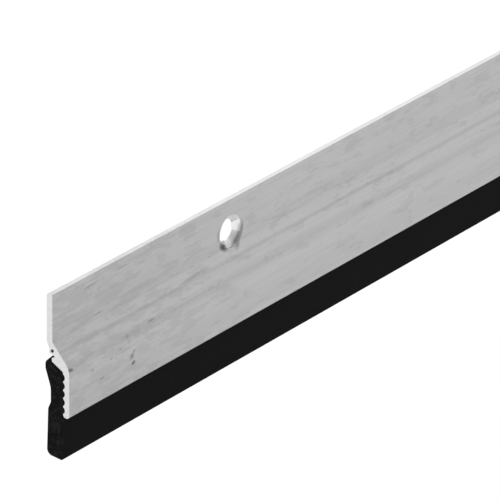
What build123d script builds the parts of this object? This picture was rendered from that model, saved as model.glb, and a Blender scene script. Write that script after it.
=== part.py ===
from build123d import *
import math
import os

# Door bottom seal: an extruded aluminium carrier with a stepped section, and a rubber blade behind its lower part.
# Lengths are in millimetres. X runs along the strip, +Y points to the door and +Z points up.
# The origin is on the plane of the door face, in the middle of the row of screw holes.
# In the section, a depth is measured from the door face towards the room, and a drop from the top edge down.

# The strip
strip_length = 914.4

# Screw row in the upper flange
screw_count = 6
screw_end_distance = 63.5
screw_drop = 7.6
screw_hole_radius = 2.5
countersink_mouth_radius = 3.85
countersink_angle = 90.0

# Carrier: flanges and the step between them
upper_flange_thickness = 1.5
upper_flange_height = 11.0
carrier_depth = 6.0
carrier_height = 27.8
lower_flange_thickness = 1.6
step_angle = 41.5
step_top_radius = 1.0
step_bottom_radius = 4.0
edge_radius = 0.2
lower_end_radius = 0.7

# Carrier: back of the step, down to the lip over the rubber's edge
neck_depth = 0.65
neck_length = 2.7
neck_shoulder = 1.5
neck_radius = 0.3
lip_slope = 0.45
lip_radius = 0.25

# Carrier: relief groove that runs the whole length inside the neck
relief_radius = 0.42
relief_cover = 0.4
relief_above_lip = 0.75
relief_mouth = 0.22

# Carrier: nose that bites into the rubber's head
slot_depth = 2.35
slot_root_radius = 0.1
nose_depth = 1.35
nose_top_gap = 0.45
nose_height = 0.85
nose_top_radius = 0.35
nose_bottom_radius = 0.5
nose_underside_angle = 29.0
nose_root_radius = 0.8

# Carrier: round grip grooves behind the lower flange
grip_count = 5
grip_start_gap = 1.3
grip_end_distance = 1.65
grip_crest_width = 0.35
grip_depth_per_width = 0.28

# Rubber blade
blade_reach = 10.3
blade_bottom_rise = 0.55
blade_back_radius = 1.4
blade_front_radius = 0.6
heel_depth = 0.35
heel_above_end = 1.1
heel_radius = 0.8
waist_depth = 1.05
waist_start_share = 0.46
waist_end_share = 0.82
waist_radius = 4.0
head_proud = 0.37
head_height = 1.5
head_radius = 1.2
head_tuck = 0.52

# Worked out from the sizes above
top_z = screw_drop
screw_spacing = (strip_length - 2 * screw_end_distance) / (screw_count - 1)
countersink_slope = math.tan(math.radians(countersink_angle / 2))
countersink_depth = (countersink_mouth_radius - screw_hole_radius) / countersink_slope
screw_land = upper_flange_thickness - countersink_depth
lip_drop = upper_flange_height + neck_length
slot_drop = lip_drop + lip_slope
nose_drop = slot_drop + nose_top_gap
nose_bottom_drop = nose_drop + nose_height
grip_plane_depth = carrier_depth - lower_flange_thickness
nose_run = (grip_plane_depth - nose_depth) * math.tan(math.radians(nose_underside_angle))
nose_root_drop = nose_bottom_drop + nose_run
grip_start_drop = nose_root_drop + grip_start_gap
grip_pitch = (carrier_height - grip_end_distance - grip_start_drop) / (grip_count - 1)
grip_groove_width = grip_pitch - grip_crest_width
grip_groove_depth = grip_groove_width * grip_depth_per_width
grip_groove_radius = (grip_groove_width**2 / 4 + grip_groove_depth**2) / (2 * grip_groove_depth)
blade_drop = carrier_height + blade_reach


def section_point(depth, drop):
    """Point of the section, in front of the door face by depth and under the top edge by drop."""
    return (-depth, top_z - drop)


def section_face(corners):
    """Closed face in the section plane; each corner is a depth, a drop and the radius that rounds it."""
    points = [section_point(depth, drop) for depth, drop, radius in corners]
    radii = [radius for depth, drop, radius in corners]
    return make_face(FilletPolyline(*points, radius=radii, close=True))


def grip_grooves():
    """Discs of the grip grooves, one below the other from under the nose."""
    centre_depth = grip_plane_depth + grip_groove_depth - grip_groove_radius
    discs = []
    for index in range(grip_count):
        y, z = section_point(centre_depth, grip_start_drop + index * grip_pitch)
        discs.append(Pos(y, z) * Circle(grip_groove_radius))
    return discs


def relief_groove():
    """Round groove in the neck, with a narrow mouth through to the back."""
    depth = neck_depth + relief_cover + relief_radius
    y, z = section_point(depth, lip_drop - relief_above_lip)
    mouth = Pos(y, z) * Rectangle(depth, relief_mouth, align=(Align.MIN, Align.CENTER))
    return Pos(y, z) * Circle(relief_radius) + mouth


def carrier_section():
    """Section of the aluminium extrusion."""
    step_run = (carrier_depth - upper_flange_thickness) / math.tan(math.radians(step_angle))
    corners = [
        (0, 0, edge_radius),
        (upper_flange_thickness, 0, edge_radius),
        (upper_flange_thickness, upper_flange_height, step_top_radius),
        (carrier_depth, upper_flange_height + step_run, step_bottom_radius),
        (carrier_depth, carrier_height, lower_end_radius),
        (grip_plane_depth, carrier_height, lower_end_radius),
        (grip_plane_depth, nose_root_drop, nose_root_radius),
        (nose_depth, nose_bottom_drop, nose_bottom_radius),
        (nose_depth, nose_drop, nose_top_radius),
        (slot_depth, slot_drop, slot_root_radius),
        (neck_depth, lip_drop, lip_radius),
        (neck_depth, upper_flange_height + neck_shoulder, neck_radius),
        (0, upper_flange_height, neck_radius),
    ]
    return section_face(corners) - relief_groove() - grip_grooves()


def blade_section(carrier):
    """Section of the rubber: its own outline, which ends inside the metal, less the aluminium that it grips."""
    shoulder_drop = lip_drop - head_tuck + slot_depth + head_proud
    head_end_drop = shoulder_drop + head_height
    heel_drop = carrier_height - heel_above_end
    waist_start_drop = head_end_drop + (heel_drop - head_end_drop) * waist_start_share
    waist_end_drop = head_end_drop + (heel_drop - head_end_drop) * waist_end_share
    metal_drop = carrier_height - lower_end_radius
    metal_depth = carrier_depth - lower_flange_thickness / 2
    corners = [
        (slot_depth, lip_drop - head_tuck, 0),
        (-head_proud, shoulder_drop, head_radius),
        (-head_proud, head_end_drop, head_radius),
        (waist_depth, waist_start_drop, waist_radius),
        (waist_depth, waist_end_drop, heel_radius),
        (heel_depth, heel_drop, heel_radius),
        (0, blade_drop - blade_bottom_rise, blade_back_radius),
        (grip_plane_depth, blade_drop, blade_front_radius),
        (grip_plane_depth, metal_drop, 0),
        (metal_depth, metal_drop, 0),
        (metal_depth, nose_root_drop, 0),
    ]
    return section_face(corners) - carrier


def along_strip(section):
    """Extrusion of a section over the whole length, to both sides of the middle."""
    return extrude(Plane.YZ * section, amount=strip_length / 2, both=True)


def screw_cutter(x):
    """Countersunk screw hole: a straight wall next to the door, a cone that opens towards the room, and
    the room in front of the cone's mouth, which takes a sliver off the top of the step."""
    upright = (Align.CENTER, Align.CENTER, Align.MIN)
    wall = Cylinder(screw_hole_radius, 2 * upper_flange_thickness, align=upright)
    cone = Cone(screw_hole_radius, countersink_mouth_radius, countersink_depth, align=upright)
    mouth = Cylinder(countersink_mouth_radius, carrier_depth, align=upright)
    cutter = Pos(0, 0, -upper_flange_thickness / 2) * wall + Pos(0, 0, screw_land) * cone
    cutter += Pos(0, 0, upper_flange_thickness) * mouth
    return Pos(x, 0, 0) * Rot(90, 0, 0) * cutter


def build_carrier(section):
    """Aluminium carrier with its row of screw holes."""
    carrier = along_strip(section)
    first_x = screw_end_distance - strip_length / 2
    for index in range(screw_count):
        carrier -= screw_cutter(first_x + index * screw_spacing)
    return carrier


carrier_face = carrier_section()
parts = {
    "carrier_strip": build_carrier(carrier_face),
    "rubber_blade": along_strip(blade_section(carrier_face)),
}

os.makedirs("parts", exist_ok=True)
for name, solid in parts.items():
    solid.label = name
    export_step(solid, f"parts/{name}.step")
    print(name, len(solid.solids()), "solid", round(solid.volume), "mm3")
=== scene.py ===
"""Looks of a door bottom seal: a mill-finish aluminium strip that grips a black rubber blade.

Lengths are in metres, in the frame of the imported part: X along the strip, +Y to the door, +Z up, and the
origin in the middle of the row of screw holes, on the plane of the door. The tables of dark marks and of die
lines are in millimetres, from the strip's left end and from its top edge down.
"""

import logging
import math
from dataclasses import dataclass, field
from enum import Enum
from typing import Any, Optional, Sequence, Union

import bpy
import numpy as np
from mathutils import Matrix, Vector


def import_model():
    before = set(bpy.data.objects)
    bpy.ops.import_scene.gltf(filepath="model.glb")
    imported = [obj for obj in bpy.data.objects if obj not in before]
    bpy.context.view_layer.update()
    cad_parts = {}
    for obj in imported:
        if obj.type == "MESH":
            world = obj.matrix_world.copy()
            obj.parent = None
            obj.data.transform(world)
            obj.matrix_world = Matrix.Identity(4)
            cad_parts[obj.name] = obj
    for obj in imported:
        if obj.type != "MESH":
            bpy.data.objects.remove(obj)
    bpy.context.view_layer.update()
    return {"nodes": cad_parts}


LOG = logging.getLogger("door_bottom_seal")
MM = 0.001

HALF_LENGTH = 457.2 * MM
TOP = 7.6 * MM
UPPER_FLANGE = 1.5 * MM
CUT_START = 0.03 * MM
CUT_FULL = 0.005 * MM

Socket = bpy.types.NodeSocket
Input = Union[Socket, float, Sequence[float]]


class Along(Enum):
    """Directions that a pattern can be stretched in, as shares of the pattern's fineness in X, Y and Z."""

    STRIP = (0.02, 1.0, 1.0)
    SHORT_GRAIN = (0.3, 1.0, 1.0)
    EVEN = (1.0, 1.0, 1.0)
    SAW = (1.0, 0.06, 1.0)


class Blend(Enum):
    """Ways in which a pattern changes the tone under it."""

    MIX = "MIX"
    MULTIPLY = "MULTIPLY"


@dataclass(frozen=True)
class Grain:
    """One noise of a finish.

    Attributes:
        size: Width of a grain, in metres.
        along: Direction in which the grains are stretched.
        layers: Number of finer layers.
        rough: Share of each finer layer.
        shift: Offset that tells this noise from others of its size.
    """

    size: float
    along: Along = Along.EVEN
    layers: float = 3.0
    rough: float = 0.5
    shift: tuple[float, float, float] = (0.0, 0.0, 0.0)


@dataclass(frozen=True)
class Stain:
    """Tone that lies over a colour wherever a noise is high.

    Attributes:
        grain: The noise.
        low: Height of the noise at which the tone starts.
        high: Height at which it has its full share.
        tone: Grey level of the tone.
        share: Its full share.
        blend: Way in which it goes over the colour.
    """

    grain: Grain
    low: float
    high: float
    tone: float
    share: float = 1.0
    blend: Blend = Blend.MIX


@dataclass(frozen=True)
class Relief:
    """Fine relief of a surface.

    Attributes:
        depth: Depth of the whole relief, in metres.
        strength: Share of it that shows.
    """

    depth: float
    strength: float = 1.0


class Graph:
    """Node tree of one material, with one short method for each kind of node that the finishes use."""

    def __init__(self, name: str) -> None:
        """Starts an empty material.

        Args:
            name: Name of the material.
        """
        self.material = bpy.data.materials.new(name)
        self.material.use_nodes = True
        self.tree = self.material.node_tree
        self.tree.nodes.clear()
        self.place = self.add("ShaderNodeTexCoord").outputs["Object"]

    def add(self, kind: str, inputs: Optional[dict[Any, Input]] = None, **settings: Any) -> bpy.types.Node:
        """Adds a node.

        Args:
            kind: Blender's name of the node type.
            inputs: What goes into its sockets, each a link or a value.
            **settings: Properties of the node.

        Returns:
            The new node.
        """
        node = self.tree.nodes.new(kind)
        for key, value in settings.items():
            setattr(node, key, value)
        for key, value in (inputs or {}).items():
            if isinstance(value, bpy.types.NodeSocket):
                self.tree.links.new(value, node.inputs[key])
            else:
                node.inputs[key].default_value = value
        return node

    def math(self, operation: str, a: Input, b: Input = 0.0, c: Input = 0.0) -> Socket:
        """Result of one arithmetic step on a, b and c."""
        return self.add("ShaderNodeMath", {0: a, 1: b, 2: c}, operation=operation).outputs[0]

    def times(self, a: Input, b: Input) -> Socket:
        """Product of a and b."""
        return self.math("MULTIPLY", a, b)

    def vary(self, pattern: Socket, middle: float, spread: float) -> Socket:
        """A value that follows a pattern from 0 to 1: middle + spread * (pattern - 1/2)."""
        return self.math("MULTIPLY_ADD", pattern, spread, middle - spread / 2)

    def split(self, vector: Socket) -> tuple[Socket, Socket, Socket]:
        """The X, Y and Z parts of a vector."""
        node = self.add("ShaderNodeSeparateXYZ", {0: vector})
        return node.outputs[0], node.outputs[1], node.outputs[2]

    def step(self, value: Input, low: float, high: float, start: float = 0.0, end: float = 1.0) -> Socket:
        """Smooth step: start where the value is under low, end where it is over high, t*t*(3 - 2*t) between.

        Args:
            value: The value to turn into a share.
            low: Value at which the step starts.
            high: Value at which the step ends.
            start: Result under low.
            end: Result over high.

        Returns:
            The socket with the share.
        """
        inputs = {0: value, 1: low, 2: high, 3: start, 4: end}
        node = self.add("ShaderNodeMapRange", inputs, interpolation_type="SMOOTHSTEP")
        return node.outputs[0]

    def noise(self, grain: Grain) -> Socket:
        """Noise from 0 to 1 whose grains are about one size across.

        Args:
            grain: Size, direction and layers of the noise.

        Returns:
            The socket with the noise.
        """
        scale = tuple(share / grain.size for share in grain.along.value)
        stretch = {"Vector": self.place, "Location": grain.shift, "Scale": scale}
        where = self.add("ShaderNodeMapping", stretch).outputs[0]
        inputs = {"Vector": where, "Scale": 1.0, "Detail": grain.layers, "Roughness": grain.rough}
        return self.add("ShaderNodeTexNoise", inputs).outputs[0]

    def cut_share(self) -> Socket:
        """Share of the sawn ends: 1 where |x| has reached half the strip's length."""
        x, _, _ = self.split(self.place)
        return self.step(self.math("ABSOLUTE", x), HALF_LENGTH - CUT_START, HALF_LENGTH - CUT_FULL)

    def tone(self, share: Input, under: Input, over: Input, blend: Blend = Blend.MIX) -> Socket:
        """Colour over another by a share.

        Args:
            share: 0 leaves the colour under it, and 1 applies the whole of the other.
            under: Colour, or grey level, that is there already.
            over: Colour, or grey level, that goes over it.
            blend: Way in which it goes over it.

        Returns:
            The socket with the resulting colour.
        """
        inputs = {"Factor": share, 6: self.grey(under), 7: self.grey(over)}
        node = self.add("ShaderNodeMix", inputs, data_type="RGBA", blend_type=blend.value)
        return node.outputs[2]

    def stain(self, pattern: Socket, under: Input, stain: Stain, within: Optional[Socket] = None) -> Socket:
        """A stain over a colour.

        Args:
            pattern: The stain's noise, or a value made from it.
            under: Colour, or grey level, that is there already.
            stain: The stain.
            within: Share of the surface that the stain keeps to.

        Returns:
            The socket with the resulting colour.
        """
        share = self.step(pattern, stain.low, stain.high, 0.0, stain.share)
        if within is not None:
            share = self.times(within, share)
        return self.tone(share, under, stain.tone, stain.blend)

    @staticmethod
    def grey(value: Input) -> Input:
        """A grey level as a colour; links and colours stay as they are."""
        return (value, value, value, 1.0) if isinstance(value, float) else value

    def bump(self, height: Socket, relief: Relief, under: Optional[Socket] = None) -> Socket:
        """Normal of a surface with a relief.

        Args:
            height: Height of the relief, from 0 to 1.
            relief: Its depth and strength.
            under: Normal of a relief that is there already.

        Returns:
            The socket with the normal.
        """
        inputs = {"Height": height, "Distance": relief.depth, "Strength": relief.strength}
        if under is not None:
            inputs["Normal"] = under
        return self.add("ShaderNodeBump", inputs).outputs[0]

    def finish(self, inputs: dict[str, Input]) -> bpy.types.Material:
        """Closes the tree with its surface shader.

        Args:
            inputs: What goes into the shader's sockets.

        Returns:
            The finished material.
        """
        shader = self.add("ShaderNodeBsdfPrincipled", inputs)
        self.add("ShaderNodeOutputMaterial", {"Surface": shader.outputs[0]})
        return self.material


@dataclass(frozen=True)
class Mark:
    """One small dark mark on the front of the strip, a scuff or a patch of painted shade: a dark ellipse
    along the strip, or a little across it.

    Attributes:
        from_end: Distance from the strip's left end, in millimetres.
        drop: Distance under its top edge, in millimetres.
        length: Half length of the ellipse, in millimetres.
        width: Half width of the ellipse, in millimetres.
        tilt: Turn of the ellipse, in degrees.
        share: Darkness of its middle, from 0 to 1.
    """

    from_end: float
    drop: float
    length: float
    width: float
    tilt: float
    share: float


@dataclass(frozen=True)
class DieLine:
    """One line that the extrusion die draws along the whole strip, lighter or darker than the face.

    Attributes:
        drop: Distance of its middle under the strip's top edge, in millimetres.
        width: Half width of the line, in millimetres.
        tone: Tone of its middle, as a share of the face's.
    """

    drop: float
    width: float
    tone: float


@dataclass(frozen=True)
class Surfaces:
    """Place of a point on the strip and its shares of each kind of surface, all as sockets.

    Attributes:
        x: Place along the strip.
        z: Height.
        local: Place along the strip, from the axis of the nearest hole.
        radius: Distance from the axis of the nearest hole.
        cut: Share of the sawn ends.
        bore: Share of the holes' walls and cones.
        front: Share of the front, which is 0 on the back of the upper flange.
    """

    x: Socket
    z: Socket
    local: Socket
    radius: Socket
    cut: Socket
    bore: Socket
    front: Socket


@dataclass(frozen=True)
class ScrewRow:
    """Sizes of the countersunk holes that the machined parts of the finish, and the painted shade round
    them, follow.

    Attributes:
        spacing: Distance between two holes.
        mouth_radius: Radius of a countersink's mouth.
        skin: Width over which the bore's finish fades at the mouth.
        rim_inner: Width of the rounded rim inside the mouth.
        rim_outer: Width of the rounded rim outside the mouth.
        rim: Relief of the rounded rim.
        painted_shade_ring_radius: Radius of the ring of painted shade round the mouth.
        painted_shade_ring_width: Half width of the ring of painted shade.
        painted_shade_ring_core: Share of that half width over which the ring is even.
        painted_shade_ring_angle: Direction of the ring's middle from the hole, in degrees up from +X.
        painted_shade_ring_side: Cosines of the angle from that direction at which the ring starts and is
            full.
        painted_shade_ring_share: Darkness of the painted shade, from 0 to 1.
        floor_height: Height at which the bore's tone turns to the painted shade of its floor.
        floor_fade: Half the height over which it turns.
    """

    spacing: float = 157.48 * MM
    mouth_radius: float = 3.85 * MM
    skin: float = 0.06 * MM
    rim_inner: float = 0.3 * MM
    rim_outer: float = 0.12 * MM
    rim: Relief = Relief(0.025 * MM)
    painted_shade_ring_radius: float = 4.1 * MM
    painted_shade_ring_width: float = 1.05 * MM
    painted_shade_ring_core: float = 0.3
    painted_shade_ring_angle: float = -32.0
    painted_shade_ring_side: tuple[float, float] = (0.55, 0.95)
    painted_shade_ring_share: float = 0.55
    floor_height: float = -2.6 * MM
    floor_fade: float = 1.2 * MM

    def polar(self, graph: Graph, x: Socket, z: Socket) -> tuple[Socket, Socket]:
        """Place round the nearest hole: x from its axis, and r = sqrt(x^2 + z^2)."""
        local = graph.math("SUBTRACT", graph.math("WRAP", x, self.spacing, 0.0), self.spacing / 2)
        square = graph.math("ADD", graph.times(local, local), graph.times(z, z))
        return local, graph.math("SQRT", square)

    def ring_of_painted_shade(self, graph: Graph, at: Surfaces) -> Socket:
        """Share of a ring of painted shade round a hole, on one side of it: a dark crescent at the mouth's
        lower right.

        It is a smooth step of |r - painted_shade_ring_radius|, full in the ring's core and 0 at
        painted_shade_ring_width, times a smooth step of the cosine of the angle from
        painted_shade_ring_angle.

        Args:
            graph: The material's node tree.
            at: Place on the strip.

        Returns:
            The share, 0 away from the ring.
        """
        angle = math.radians(self.painted_shade_ring_angle)
        towards = graph.math("MULTIPLY_ADD", at.local, math.cos(angle), graph.times(at.z, math.sin(angle)))
        side = graph.step(graph.math("DIVIDE", towards, at.radius), *self.painted_shade_ring_side)
        off = graph.math("ABSOLUTE", graph.math("SUBTRACT", at.radius, self.painted_shade_ring_radius))
        ring = graph.step(off, self.painted_shade_ring_core * self.painted_shade_ring_width, self.painted_shade_ring_width, self.painted_shade_ring_share, 0.0)
        return graph.times(ring, side)

    def rim_height(self, graph: Graph, radius: Socket) -> Socket:
        """Height of the countersinks' rounded rims: 1 away from the rim, smoothly down to 0 on it."""
        inner = graph.step(radius, self.mouth_radius - self.rim_inner, self.mouth_radius, 1.0, 0.0)
        outer = graph.step(radius, self.mouth_radius, self.mouth_radius + self.rim_outer, 0.0, 1.0)
        return graph.math("MAXIMUM", inner, outer)

    def bore_share(self, graph: Graph, radius: Socket) -> Socket:
        """Share of the holes' walls and cones: 1 inside a hole's mouth and 0 outside."""
        return graph.step(radius, self.mouth_radius - self.skin, self.mouth_radius + self.skin, 1.0, 0.0)

    def bore_tone(self, graph: Graph, z: Socket, upper: float, lower: float) -> Socket:
        """Tone of the cut metal in a hole, with painted shade on its floor: darker under floor_height."""
        low, high = self.floor_height - self.floor_fade, self.floor_height + self.floor_fade
        return graph.step(z, low, high, lower, upper)


@dataclass(frozen=True)
class MillAluminium:
    """Mill finish of an extrusion: satin grey, drawn lines along the strip, cloudy patches, a few scuffs and
    painted shade round the holes.

    Attributes:
        slot: The record's material slot; not used.
        light_tone: Grey of the bare face.
        streaks: Finest drawn streaks along the strip.
        bands: Broader drawn bands along the strip.
        clouds: Cloudy patches.
        specks: Small specks.
        handled: Distances from the left end over which the handled zone fades out.
        handled_tone: Tone of the handled zone, as a share of the face's.
        handled_lift: What the handled zone adds to the clouds, so that they are denser there.
        scuff_and_painted_shade_tone: Grey of the scuffs, and of the painted shade round the holes.
        cut_tone: Grey of the sawn ends.
        saw_marks: Marks of the saw on them.
        bore_tone: Grey of the holes' walls.
        bore_floor_painted_shade_tone: Grey of their floors, darker as painted shade.
        roughness: Middle roughness of the face.
        roughness_spread: Range of it between the streaks.
        bore_roughness: Roughness of the holes' walls.
        crown_roughness: Roughness of their upper walls.
        crown: Heights between which the one turns to the other.
        bore_depths: Depths before the door's plane at which the bore's finish starts and is full.
        front_depths: Depths before the door's plane at which the front's marks start and are full.
        streak_relief: Relief of the streaks.
        saw_relief: Relief of the saw's marks.
        ring_relief: Relief of the rings that the countersink's cutter turns.
        ring_pitch: Distance between two of those rings.
        scuff_relief: Relief of the scuffs.
        screws: The row of holes.
        lines: The die lines.
        marks: The scuffs, and by the first hole a dark spot and a patch of painted shade.
    """

    slot: str = "aluminium"
    light_tone: float = 0.52
    streaks: Stain = Stain(Grain(0.22 * MM, Along.STRIP, 4.0, 0.6), 0.35, 0.75, 0.494)
    bands: Stain = Stain(
        Grain(0.9 * MM, Along.STRIP, 2.0, 0.5, (3.0, 1.0, 5.0)), 0.45, 0.7, 0.96, blend=Blend.MULTIPLY
    )
    clouds: Stain = Stain(
        Grain(2.2 * MM, Along.SHORT_GRAIN, 5.0, 0.72, (7.0, 2.0, 1.0)), 0.55, 0.6, 0.91, blend=Blend.MULTIPLY
    )
    specks: Stain = Stain(
        Grain(0.35 * MM, Along.SHORT_GRAIN, 2.0, 0.6, (1.0, 9.0, 4.0)), 0.6, 0.72, 0.93, blend=Blend.MULTIPLY
    )
    handled: tuple[float, float] = (15.0 * MM, 75.0 * MM)
    handled_tone: float = 0.95
    handled_lift: float = 0.08
    scuff_and_painted_shade_tone: float = 0.08
    cut_tone: float = 0.8
    saw_marks: Stain = Stain(
        Grain(0.12 * MM, Along.SAW, 3.0, 0.6, (2.0, 2.0, 2.0)), 0.3, 0.7, 0.86, blend=Blend.MULTIPLY
    )
    bore_tone: float = 0.86
    bore_floor_painted_shade_tone: float = 0.5
    roughness: float = 0.4
    roughness_spread: float = 0.16
    bore_roughness: float = 0.11
    crown_roughness: float = 0.6
    crown: tuple[float, float] = (1.0 * MM, 2.4 * MM)
    bore_depths: tuple[float, float] = (0.02 * MM, 0.04 * MM)
    front_depths: tuple[float, float] = (0.75 * MM, 0.9 * MM)
    streak_relief: Relief = Relief(0.006 * MM, 0.7)
    saw_relief: Relief = Relief(0.02 * MM, 0.8)
    ring_relief: Relief = Relief(0.001 * MM, 0.2)
    ring_pitch: float = 0.11 * MM
    scuff_relief: Relief = Relief(0.05 * MM)
    screws: ScrewRow = ScrewRow()
    lines: tuple[DieLine, ...] = (
        DieLine(1.3, 0.5, 0.95),
        DieLine(8.9, 0.9, 0.98),
        DieLine(11.1, 0.4, 1.02),
        DieLine(13.1, 0.6, 0.87),
        DieLine(24.2, 4.6, 0.94),
    )
    marks: tuple[Mark, ...] = (
        Mark(0.6, 16.5, 1.3, 0.5, -10.0, 0.7),
        Mark(22.1, 21.1, 0.95, 0.85, 20.0, 0.5),
        Mark(22.8, 20.2, 0.8, 0.5, 40.0, 0.4),
        Mark(22.6, 22.8, 0.9, 0.6, 20.0, 0.75),
        Mark(20.8, 16.0, 0.8, 0.6, 30.0, 0.2),
        Mark(21.2, 17.4, 0.7, 0.6, 80.0, 0.2),
        Mark(18.0, 17.9, 0.9, 0.3, 5.0, 0.3),
        Mark(14.8, 19.0, 0.8, 0.3, 10.0, 0.3),
        Mark(15.8, 9.95, 2.4, 0.35, 2.0, 0.3),
        Mark(13.3, 2.5, 3.0, 0.35, 1.0, 0.3),
        Mark(24.5, 2.1, 3.4, 0.35, -1.0, 0.3),
        Mark(48.0, 12.6, 6.0, 0.35, 2.0, 0.28),
        Mark(29.6, 15.55, 1.8, 0.3, 3.0, 0.35),
        Mark(8.2, 19.3, 0.8, 0.3, 10.0, 0.4),
        Mark(11.5, 22.4, 0.9, 0.3, 15.0, 0.4),
        # The next two rows lie by the first hole: a dark spot at its lower left, and painted shade on the
        # left of the ring round its mouth.
        Mark(61.1, 10.3, 1.95, 1.45, -25.0, 1.0),
        Mark(59.1, 7.2, 0.6, 1.9, -8.0, 0.3),
    )

    def surfaces(self, graph: Graph) -> Surfaces:
        """Finds where on the strip a point lies.

        Args:
            graph: The material's node tree.

        Returns:
            The point's place and its shares of each kind of surface.
        """
        x, y, z = graph.split(graph.place)
        inside, front = (
            graph.step(y, -full, -start, 1.0, 0.0) for start, full in (self.bore_depths, self.front_depths)
        )
        local, radius = self.screws.polar(graph, x, z)
        bore = graph.times(self.screws.bore_share(graph, radius), inside)
        return Surfaces(x, z, local, radius, graph.cut_share(), bore, front)

    def mark_share(self, graph: Graph, at: Surfaces, mark: Mark) -> Socket:
        """Share of one mark: an ellipse, (u/length)^2 + (w/width)^2 < 1, turned by its tilt on the front.

        Args:
            graph: The material's node tree.
            at: Place on the strip.
            mark: The mark.

        Returns:
            The mark's share in its middle, falling to 0 at its rim.
        """
        dx = graph.math("SUBTRACT", at.x, mark.from_end * MM - HALF_LENGTH)
        dz = graph.math("SUBTRACT", at.z, TOP - mark.drop * MM)
        cos, sin = math.cos(math.radians(mark.tilt)) / MM, math.sin(math.radians(mark.tilt)) / MM
        along = graph.math("MULTIPLY_ADD", dz, sin / mark.length, graph.times(dx, cos / mark.length))
        across = graph.math("MULTIPLY_ADD", dx, -sin / mark.width, graph.times(dz, cos / mark.width))
        off = graph.math("MULTIPLY_ADD", along, along, graph.times(across, across))
        return graph.step(off, 0.0, 1.0, mark.share, 0.0)

    def scuff_and_painted_shade_share(self, graph: Graph, at: Surfaces) -> Socket:
        """Share of the scuffs and of the patch of painted shade by the first hole: that of the strongest
        mark at each point, on the front alone.
        """
        scuffs_and_painted_shade: Input = 0.0
        for mark in self.marks:
            scuffs_and_painted_shade = graph.math("MAXIMUM", self.mark_share(graph, at, mark), scuffs_and_painted_shade)
        return graph.times(scuffs_and_painted_shade, at.front)

    def line_tone(self, graph: Graph, z: Socket, line: DieLine) -> Socket:
        """Tone of one die line: 1 away from it and the line's tone in its middle."""
        off = graph.math("ABSOLUTE", graph.math("SUBTRACT", z, TOP - line.drop * MM))
        return graph.step(off, 0.0, line.width * MM, line.tone, 1.0)

    def face_tone(self, graph: Graph, at: Surfaces, drawn: Socket) -> Socket:
        """Grey of the extruded faces: streaks, cloudy patches, denser at the near end, and die lines.

        Args:
            graph: The material's node tree.
            at: Place on the strip.
            drawn: Noise of the finest drawn streaks.

        Returns:
            The colour.
        """
        start, end = self.handled
        handled = graph.step(at.x, start - HALF_LENGTH, end - HALF_LENGTH, 1.0, 0.0)
        clouds = graph.math("MULTIPLY_ADD", handled, self.handled_lift, graph.noise(self.clouds.grain))
        tone = graph.stain(drawn, self.light_tone, self.streaks)
        tone = graph.tone(handled, tone, self.handled_tone, Blend.MULTIPLY)
        tone = graph.stain(graph.noise(self.bands.grain), tone, self.bands)
        tone = graph.stain(clouds, tone, self.clouds)
        tone = graph.stain(graph.noise(self.specks.grain), tone, self.specks)
        lines: Input = 1.0
        for line in self.lines:
            lines = graph.times(self.line_tone(graph, at.z, line), lines)
        return graph.tone(1.0, tone, lines, Blend.MULTIPLY)

    def colour(self, graph: Graph, at: Surfaces, drawn: Socket, saw: Socket, scuffs_and_painted_shade: Socket) -> Socket:
        """Colour of the whole strip.

        Args:
            graph: The material's node tree.
            at: Place on the strip.
            drawn: Noise of the finest drawn streaks.
            saw: Noise of the saw's marks.
            scuffs_and_painted_shade: Share of the scuffs and of the patch of painted shade.

        Returns:
            The colour.
        """
        # Painted shade: a dark crescent round the lower right of each hole's mouth, on the front alone.
        painted_ring_shade_share = graph.times(self.screws.ring_of_painted_shade(graph, at), at.front)
        # Painted shade: the holes' walls turn darker towards their floors.
        bore_tone_with_painted_shade = self.screws.bore_tone(graph, at.z, self.bore_tone, self.bore_floor_painted_shade_tone)
        colour = graph.tone(at.bore, self.face_tone(graph, at, drawn), bore_tone_with_painted_shade)
        colour = graph.tone(painted_ring_shade_share, colour, self.scuff_and_painted_shade_tone)
        colour = graph.tone(scuffs_and_painted_shade, colour, self.scuff_and_painted_shade_tone)
        return graph.tone(at.cut, colour, graph.stain(saw, self.cut_tone, self.saw_marks))

    def relief(self, graph: Graph, at: Surfaces, drawn: Socket, saw: Socket, scuffs_and_painted_shade: Socket) -> Socket:
        """Normal of the whole strip.

        Args:
            graph: The material's node tree.
            at: Place on the strip.
            drawn: Noise of the finest drawn streaks.
            saw: Noise of the saw's marks.
            scuffs_and_painted_shade: Share of the scuffs and of the patch of painted shade.

        Returns:
            The socket with the normal.
        """
        extruded = graph.math("SUBTRACT", 1.0, graph.math("MAXIMUM", at.cut, at.bore))
        rings = graph.math("SINE", graph.times(at.radius, 2 * math.pi / self.ring_pitch))
        back = graph.math("SUBTRACT", 1.0, at.front)
        rim = graph.math("MAXIMUM", self.screws.rim_height(graph, at.radius), back)
        normal = graph.bump(graph.times(drawn, extruded), self.streak_relief)
        normal = graph.bump(graph.times(saw, at.cut), self.saw_relief, normal)
        normal = graph.bump(graph.times(rings, at.bore), self.ring_relief, normal)
        normal = graph.bump(rim, self.screws.rim, normal)
        return graph.bump(graph.times(scuffs_and_painted_shade, -1.0), self.scuff_relief, normal)

    def material(self) -> bpy.types.Material:
        """Builds the material.

        Returns:
            The material.
        """
        graph = Graph("mill_aluminium")
        at = self.surfaces(graph)
        drawn, saw = graph.noise(self.streaks.grain), graph.noise(self.saw_marks.grain)
        scuffs_and_painted_shade = self.scuff_and_painted_shade_share(graph, at)
        bore_rough = graph.step(at.z, *self.crown, self.bore_roughness, self.crown_roughness)
        rough = graph.tone(at.bore, graph.vary(drawn, self.roughness, self.roughness_spread), bore_rough)
        return graph.finish({
            "Base Color": self.colour(graph, at, drawn, saw, scuffs_and_painted_shade),
            "Metallic": 1.0,
            "Roughness": rough,
            "Normal": self.relief(graph, at, drawn, saw, scuffs_and_painted_shade),
        })


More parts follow.
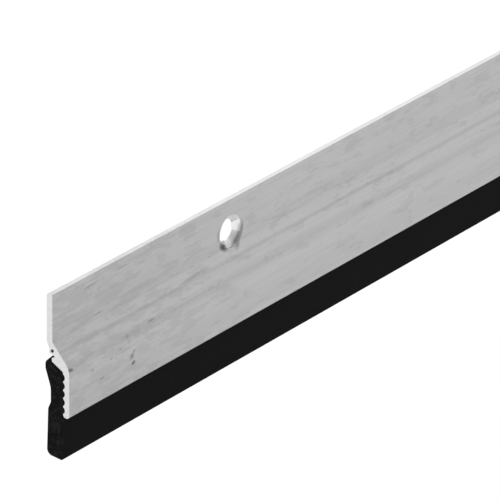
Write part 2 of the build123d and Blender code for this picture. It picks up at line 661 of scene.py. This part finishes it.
@dataclass(frozen=True)
class MattRubber:
    """Matt black extruded rubber: a fine grain, faint drawn lines and a duller cut end.

    Attributes:
        slot: The record's material slot; not used.
        colour: Colour under the stains.
        patches: Faint duller patches.
        drawn: Faint drawn lines along the strip.
        pores: Fine pores.
        mottle: Dull mottling of the cut ends.
        roughness: Middle roughness.
        roughness_spread: Range of it between the patches.
        gloss: Strength of the surface's reflection.
        pore_height: Share of the pores in the relief.
        drawn_height: Share of the drawn lines in the relief.
        skin_relief: Relief of the extruded skin.
        cut_relief: Relief of the cut ends.
    """

    slot: str = "rubber"
    colour: tuple[float, float, float, float] = (0.0035, 0.0035, 0.0037, 1.0)
    patches: Stain = Stain(
        Grain(0.9 * MM, Along.SHORT_GRAIN, 4.0, 0.65, (8.0, 3.0, 6.0)), 0.42, 0.7, 0.0065, 0.8
    )
    drawn: Stain = Stain(Grain(0.3 * MM, Along.STRIP, 3.0, 0.55, (4.0, 4.0, 4.0)), 0.55, 0.8, 0.005, 0.5)
    pores: Stain = Stain(Grain(0.16 * MM, Along.EVEN, 2.0, 0.7, (5.0, 5.0, 5.0)), 0.6, 0.7, 0.016, 0.6)
    mottle: Stain = Stain(Grain(0.8 * MM, Along.EVEN, 4.0, 0.7, (2.0, 6.0, 1.0)), 0.48, 0.58, 0.013)
    roughness: float = 0.62
    roughness_spread: float = 0.2
    gloss: float = 0.03
    pore_height: float = 0.6
    drawn_height: float = 0.8
    skin_relief: Relief = Relief(0.012 * MM, 0.7)
    cut_relief: Relief = Relief(0.05 * MM, 0.8)

    def material(self) -> bpy.types.Material:
        """Builds the material.

        Returns:
            The material.
        """
        graph = Graph("matt_black_rubber")
        cut = graph.cut_share()
        patches, drawn, pores, mottle = (
            graph.noise(stain.grain) for stain in (self.patches, self.drawn, self.pores, self.mottle)
        )
        colour = graph.stain(patches, self.colour, self.patches)
        colour = graph.stain(drawn, colour, self.drawn)
        colour = graph.stain(pores, colour, self.pores)
        colour = graph.stain(mottle, colour, self.mottle, cut)
        height = graph.math("MULTIPLY_ADD", pores, self.pore_height, graph.times(drawn, self.drawn_height))
        normal = graph.bump(height, self.skin_relief)
        normal = graph.bump(graph.times(pores, cut), self.cut_relief, normal)
        return graph.finish({
            "Base Color": colour,
            "Roughness": graph.vary(patches, self.roughness, self.roughness_spread),
            "Specular IOR Level": self.gloss,
            "Normal": normal,
        })


@dataclass
class CarrierStrip:
    """Aluminium extrusion that is screwed to the door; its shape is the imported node's own."""

    node: bpy.types.Object
    finish: MillAluminium = MillAluminium()

    def dress(self) -> None:
        """Gives the node its finish."""
        dress_node(self.node, self.finish.material())


@dataclass
class RubberBlade:
    """Rubber blade behind the strip's lower flange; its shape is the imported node's own."""

    node: bpy.types.Object
    finish: MattRubber = MattRubber()

    def dress(self) -> None:
        """Gives the node its finish."""
        dress_node(self.node, self.finish.material())


def dress_node(node: bpy.types.Object, material: bpy.types.Material) -> None:
    """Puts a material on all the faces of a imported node.

    Args:
        node: The node's object.
        material: The material.
    """
    node.data.materials.clear()
    node.data.materials.append(material)
    LOG.info("%s: %d faces in %s", node.name, len(node.data.polygons), material.name)


@dataclass
class PhotoCamera:
    """Camera at the place from which the photograph was taken, found from the strip's edges in it.

    Attributes:
        azimuth: Direction of the camera round the strip, in degrees.
        elevation: Its height over the strip, in degrees.
        roll: Its turn about the line of sight, in degrees.
        focal: Focal length, in pixels.
        frame: Width and height of the picture, in pixels.
        distance: Distance to the point, along the line of sight.
        pixel: Pixel on which the point falls.
        point: The strip's front top corner at its left end.
        sensor: Width of the sensor, in millimetres.
        near: Nearest distance that the camera sees.
        far: Furthest distance that it sees.
    """

    azimuth: float = -54.0
    elevation: float = 24.233
    roll: float = 0.6612
    focal: float = 6722.701
    frame: float = 500.0
    distance: float = 1421.8308 * MM
    pixel: tuple[float, float] = (52.2516, 295.4985)
    point: tuple[float, float, float] = (-HALF_LENGTH, -UPPER_FLANGE, TOP)
    sensor: float = 36.0
    near: float = 0.05
    far: float = 60.0

    def build(self) -> bpy.types.Object:
        """Makes the camera and puts it where the strip's front top corner falls on its pixel.

        The place is c = point + back*d - side*(u - h)*d/f - top*(h - v)*d/f, with d the distance, f the
        focal length in pixels, (u, v) the pixel, h half the frame, and side and top the rolled axes.

        Returns:
            The camera.
        """
        azimuth, elevation, roll = (math.radians(a) for a in (self.azimuth, self.elevation, self.roll))
        right = Vector((math.cos(azimuth), math.sin(azimuth), 0.0))
        back = Vector((
            math.sin(azimuth) * math.cos(elevation),
            -math.cos(azimuth) * math.cos(elevation),
            math.sin(elevation),
        ))
        up = back.cross(right)
        side = right * math.cos(roll) + up * math.sin(roll)
        top = up * math.cos(roll) - right * math.sin(roll)
        half, scale = self.frame / 2, self.distance / self.focal
        place = (
            Vector(self.point) + back * self.distance
            - side * (self.pixel[0] - half) * scale
            - top * (half - self.pixel[1]) * scale
        )
        data = bpy.data.cameras.new("photo_camera")
        data.sensor_width = self.sensor
        data.lens = self.focal / self.frame * self.sensor
        data.clip_start, data.clip_end = self.near, self.far
        camera = bpy.data.objects.new("photo_camera", data)
        bpy.context.scene.collection.objects.link(camera)
        matrix = Matrix((side, top, back)).transposed().to_4x4()
        matrix.translation = place
        camera.matrix_world = matrix
        bpy.context.scene.camera = camera
        LOG.info("%s: lens of %.0f mm", camera.name, data.lens)
        return camera


@dataclass
class Softbox:
    """One soft light: a lit rectangle that faces a point.

    Attributes:
        name: Name of the light.
        place: Its middle.
        aim: The point that it faces.
        width: Width of the rectangle.
        height: Height of the rectangle.
        power: Power, in watts.
    """

    name: str
    place: tuple[float, float, float]
    aim: tuple[float, float, float]
    width: float
    height: float
    power: float

    def build(self) -> bpy.types.Object:
        """Makes the light.

        Returns:
            The light's object.
        """
        data = bpy.data.lights.new(self.name, "AREA")
        data.shape, data.size, data.size_y, data.energy = "RECTANGLE", self.width, self.height, self.power
        light = bpy.data.objects.new(self.name, data)
        bpy.context.scene.collection.objects.link(light)
        light.location = self.place
        towards = Vector(self.aim) - Vector(self.place)
        light.rotation_euler = towards.to_track_quat("-Z", "Y").to_euler()
        LOG.info("%s: %.0f W", light.name, self.power)
        return light


@dataclass
class Sky:
    """Even white studio sky that is darker round one direction, where the room's unlit side is.

    Attributes:
        light: Strength of the sky.
        dark: Strength in the dark direction.
        centre: The dark direction.
        core: Angle from it within which the sky is darkest, in degrees.
        edge: Angle from it beyond which the sky is even, in degrees.
    """

    light: float = 1.045
    dark: float = 0.42
    centre: tuple[float, float, float] = (0.05, -0.98, 0.1)
    core: float = 18.0
    edge: float = 52.0

    def build(self) -> bpy.types.World:
        """Makes the world: its strength is a smooth step of the cosine of the angle from the dark centre.

        Returns:
            The world.
        """
        world = bpy.data.worlds.new("studio_sky")
        world.use_nodes = True
        tree = world.node_tree
        place = tree.nodes.new("ShaderNodeTexCoord")
        dot = tree.nodes.new("ShaderNodeVectorMath")
        dot.operation = "DOT_PRODUCT"
        dot.inputs[1].default_value = Vector(self.centre).normalized()
        share = tree.nodes.new("ShaderNodeMapRange")
        share.interpolation_type = "SMOOTHSTEP"
        low, high = (math.cos(math.radians(angle)) for angle in (self.edge, self.core))
        for index, value in enumerate((low, high, self.light, self.dark), 1):
            share.inputs[index].default_value = value
        tree.links.new(place.outputs["Generated"], dot.inputs[0])
        tree.links.new(dot.outputs["Value"], share.inputs[0])
        background = tree.nodes["Background"]
        tree.links.new(share.outputs[0], background.inputs["Strength"])
        background.inputs["Color"].default_value = (1.0, 1.0, 1.0, 1.0)
        bpy.context.scene.world = world
        LOG.info("%s: strength %.3f to %.3f", world.name, self.dark, self.light)
        return world


@dataclass
class Studio:
    """Plain white room: a wide pale floor well under the strip, an even sky and one soft light.

    Attributes:
        floor_z: Height of the floor.
        reach: Half width of the floor.
        grid_lines: Number of grid lines each way across the floor.
        crowding: Power by which the lines crowd near the strip.
        floor_tone: Grey of the floor.
        floor_clouds: Faint clouds on it.
        floor_roughness: Its roughness.
        floor_gloss: Strength of its reflection.
        sky: The sky.
        lights: The soft lights.
    """

    floor_z: float = -0.42
    reach: float = 60.0
    grid_lines: int = 41
    crowding: int = 3
    floor_tone: float = 0.95
    floor_clouds: Stain = Stain(Grain(60 * MM), 0.3, 0.7, 0.985, blend=Blend.MULTIPLY)
    floor_roughness: float = 0.9
    floor_gloss: float = 0.1
    sky: Sky = field(default_factory=Sky)
    lights: tuple[Softbox, ...] = (
        Softbox("key_above_behind", (1.5, 1.7, 1.5), (-0.2, 0.0, 0.0), 2.2, 2.2, 11.0),
    )

    def floor(self) -> bpy.types.Object:
        """Makes the floor: a flat sheet on a grid whose lines lie closer near the strip.

        A line is at x = reach * sign(s) * |s|^crowding for s from -1 to 1, and likewise in Y.

        Returns:
            The sheet's object.
        """
        share = np.linspace(-1.0, 1.0, self.grid_lines)
        line = self.reach * np.sign(share) * np.abs(share) ** self.crowding
        x, y = np.meshgrid(line, line, indexing="ij")
        sheet = grid_mesh("studio_floor", np.stack((x, y, np.full_like(x, self.floor_z)), axis=-1))
        graph = Graph("studio_white")
        clouds = graph.noise(self.floor_clouds.grain)
        sheet.data.materials.append(graph.finish({
            "Base Color": graph.stain(clouds, self.floor_tone, self.floor_clouds),
            "Roughness": self.floor_roughness,
            "Specular IOR Level": self.floor_gloss,
        }))
        LOG.info("%s: %d faces", sheet.name, len(sheet.data.polygons))
        return sheet

    def build(self) -> None:
        """Makes the floor, the sky and the lights."""
        self.floor()
        self.sky.build()
        for light in self.lights:
            light.build()
        bpy.context.scene.view_settings.view_transform = "Standard"


def grid_mesh(name: str, points: np.ndarray) -> bpy.types.Object:
    """Makes a sheet from a grid of points.

    Args:
        name: Name of the object.
        points: Array of shape (rows, columns, 3), in metres.

    Returns:
        The sheet's object, smooth shaded.
    """
    rows, columns = points.shape[:2]
    index = np.arange(rows * columns).reshape(rows, columns)
    around = (index[:-1, :-1], index[1:, :-1], index[1:, 1:], index[:-1, 1:])
    quads = np.stack(around, axis=-1).reshape(-1, 4)
    mesh = bpy.data.meshes.new(name)
    mesh.from_pydata(points.reshape(-1, 3).tolist(), [], quads.tolist())
    mesh.shade_smooth()
    sheet = bpy.data.objects.new(name, mesh)
    bpy.context.scene.collection.objects.link(sheet)
    return sheet


def main() -> None:
    """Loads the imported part, dresses its nodes and sets up the studio and the camera."""
    logging.basicConfig(level=logging.INFO, format="%(name)s: %(message)s")
    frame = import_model()
    CarrierStrip(frame["nodes"]["carrier_strip"]).dress()
    RubberBlade(frame["nodes"]["rubber_blade"]).dress()
    PhotoCamera().build()
    Studio().build()
    LOG.info("sizes written")


if __name__ == "__main__":
    main()
